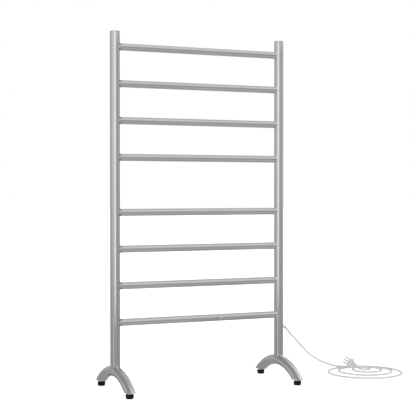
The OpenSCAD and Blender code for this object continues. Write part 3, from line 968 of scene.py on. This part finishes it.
def make_world():
    """A white backdrop for the camera, and a softly banded studio for light and reflections."""
    world = bpy.data.worlds.new("studio")
    bpy.context.scene.world = world
    world.use_nodes = True
    tree = world.node_tree
    tree.nodes.clear()
    around, level = direction_round(tree), direction_level(tree)
    walls = ramp(tree, around, [round_stop(-180, 0.44), round_stop(-130, 0.46),
                                round_stop(-92, 0.48), round_stop(-65, 0.62),
                                round_stop(-42, 0.72), round_stop(-15, 0.76),
                                round_stop(10, 0.66), round_stop(45, 0.46),
                                round_stop(66, 0.38), round_stop(90, 0.48),
                                round_stop(124, 0.66), round_stop(150, 0.60),
                                round_stop(180, 0.44)])
    front = ramp(tree, level, [level_stop(14, 0.74), level_stop(40, 0.76), level_stop(70, 0.74),
                               level_stop(90, 0.64)])
    back = ramp(tree, level, [level_stop(10, 0.44), level_stop(40, 0.56), level_stop(70, 0.70),
                              level_stop(90, 0.64)])
    ceiling = blend_colours(tree, fore_and_aft(tree), back, front)
    ground = ramp(tree, level, [level_stop(-90, 0.30), level_stop(-65, 0.44),
                                level_stop(-48, 0.52), level_stop(-24, 0.46),
                                level_stop(-9, 0.34)])
    up = ramp(tree, level, [level_stop(8, 0.0), level_stop(30, 1.0)])
    down = ramp(tree, level, [level_stop(-10, 1.0), level_stop(1, 0.0)])
    studio = blend_colours(tree, down, blend_colours(tree, up, walls, ceiling), ground)
    window = times(tree, ramp(tree, around, [round_stop(98, 0), round_stop(112, 1),
                                             round_stop(142, 1), round_stop(156, 0)]),
                   ramp(tree, level, [level_stop(10, 0), level_stop(19, 1),
                                      level_stop(51, 1), level_stop(60, 0)]))
    glow = node(tree, "ShaderNodeRGB")
    glow.outputs[0].default_value = (1, 1, 1, 1)
    studio = blend_colours(tree, window, studio, glow.outputs[0])
    lit = node(tree, "ShaderNodeBackground")
    tree.links.new(studio, lit.inputs["Color"])
    white = node(tree, "ShaderNodeBackground", Color=(1, 1, 1, 1), Strength=1.0)
    rays = node(tree, "ShaderNodeLightPath")
    mix = node(tree, "ShaderNodeMixShader")
    tree.links.new(rays.outputs["Is Camera Ray"], mix.inputs[0])
    tree.links.new(lit.outputs["Background"], mix.inputs[1])
    tree.links.new(white.outputs["Background"], mix.inputs[2])
    out = node(tree, "ShaderNodeOutputWorld")
    tree.links.new(mix.outputs["Shader"], out.inputs["Surface"])


def make_softbox(name, at, aim, width, height, watts):
    """Soft rectangular light, aimed at a point, that doesn't show in reflections."""
    data = bpy.data.lights.new(name, "AREA")
    data.shape = "RECTANGLE"
    data.size, data.size_y = width, height
    data.energy = watts
    light = bpy.data.objects.new(name, data)
    light.location = at
    light.rotation_euler = (Vector(aim) - Vector(at)).to_track_quat("-Z", "Y").to_euler()
    light.visible_glossy = False
    bpy.context.scene.collection.objects.link(light)


def make_card(name, corner, across, upward, tones, cover, fade):
    """Flat studio card that shows only in reflections, and only from its front. Its tones and how
    solid it is run across it, and it fades out over the part fade of its height at both ends."""
    corner, across, upward = Vector(corner), Vector(across), Vector(upward)
    mesh = bpy.data.meshes.new(name)
    mesh.from_pydata([corner, corner + across, corner + across + upward, corner + upward], [],
                     [(0, 1, 2, 3)])
    spread = mesh.uv_layers.new(name="card")
    for loop, place in zip(spread.data, ((0, 0), (1, 0), (1, 1), (0, 1))):
        loop.uv = place
    material = bpy.data.materials.new(name)
    material.use_nodes = True
    tree = material.node_tree
    tree.nodes.clear()
    where = node(tree, "ShaderNodeTexCoord")
    split = node(tree, "ShaderNodeSeparateXYZ")
    tree.links.new(where.outputs["UV"], split.inputs["Vector"])
    glow = node(tree, "ShaderNodeEmission")
    tree.links.new(ramp(tree, split.outputs["X"], [(at, grey(v)) for at, v in tones]),
                   glow.inputs["Color"])
    solid = ramp(tree, split.outputs["X"], [(at, grey(v)) for at, v in cover])
    ends = ramp(tree, split.outputs["Y"], [(0, grey(0)), (fade, grey(1)), (1 - fade, grey(1)),
                                           (1, grey(0))])
    facing = node(tree, "ShaderNodeNewGeometry")
    share = times(tree, times(tree, solid, ends),
                  between(tree, facing.outputs["Backfacing"], 1.0, 0.0, 0.0, 1.0))
    clear = node(tree, "ShaderNodeBsdfTransparent")
    mix = node(tree, "ShaderNodeMixShader")
    tree.links.new(share, mix.inputs[0])
    tree.links.new(clear.outputs["BSDF"], mix.inputs[1])
    tree.links.new(glow.outputs["Emission"], mix.inputs[2])
    out = node(tree, "ShaderNodeOutputMaterial")
    tree.links.new(mix.outputs["Shader"], out.inputs["Surface"])
    mesh.materials.append(material)
    card = bpy.data.objects.new(name, mesh)
    for kind in ("camera", "diffuse", "transmission", "volume_scatter", "shadow"):
        setattr(card, "visible_" + kind, False)
    bpy.context.scene.collection.objects.link(card)


def soft_edges(share):
    """Cover that rises to full over that share of a card's width at both sides."""
    return [(0, 0), (share, 1), (1 - share, 1), (1, 0)]


def make_cards():
    """A tall bright strip in front, a streaked card low by each post, a dark flag beside the left
    post, one over each foot and a dark card on the floor under each foot's rear leg: a painted
    shadow that stands in for the floor's shade there, seen only in reflections."""
    make_card("strip_card", STRIP_AT - STRIP_ACROSS / 2, STRIP_ACROSS, STRIP_TALL,
              [(0, 1.25), (1, 1.25)],
              [(0, 0), (0.2, 0.12), (0.38, 0.7), (0.5, 1), (0.62, 0.7), (0.8, 0.12), (1, 0)], 0.1)
    for side in OUTWARD:
        post = middle(side + "_post").xy
        aim = Vector((-0.80, -0.60))
        across = Vector((aim.y, -aim.x, 0)) * 0.2
        make_card(side + "_low_card", Vector((*(post + aim * 0.2), 0)) - across / 2, across,
                  (0, 0, 0.24),
                  [(0, 0.33), (0.4, 0.25), (0.5, 1.9), (0.6, 0.16), (0.75, 0.14), (1, 0.4)],
                  soft_edges(0.2), 0.2)
    left = middle("left_post").x
    make_card("side_flag", (left + 0.019, 0.0235, 0.02), (0, -0.0385, 0), (0, 0, 1.2),
              [(0, 0.30), (0.6, 0.20), (0.85, 0.19), (1, 0.30)], soft_edges(0.15), 0.04)
    for side in OUTWARD:
        x = middle(side + "_foot").x
        make_card(side + "_foot_flag", (x - 0.2, 0.35, 0.165), (0.2, 0, 0), (0, -0.7, 0),
                  [(0, 0.30), (1, 0.30)], soft_edges(0.2), 0.2)
        # Painted shadow: a dark card on the floor under each foot, standing in for the floor's
        # shade there, seen only in reflections
        make_card(side + "_foot_shade", (x - 0.24, -0.28, 0.001), (0.36, 0, 0), (0, 0.56, 0),
                  [(0, 0.36), (1, 0.36)], soft_edges(0.2), 0.1)


def make_studio():
    make_floor()
    make_world()
    make_cards()
    make_softbox("overhead_softbox", (0.2, -0.6, 3.0), (0.1, 0, 0), 2.4, 2.4, 10)
    bpy.context.scene.view_settings.view_transform = "Standard"


make_studio()
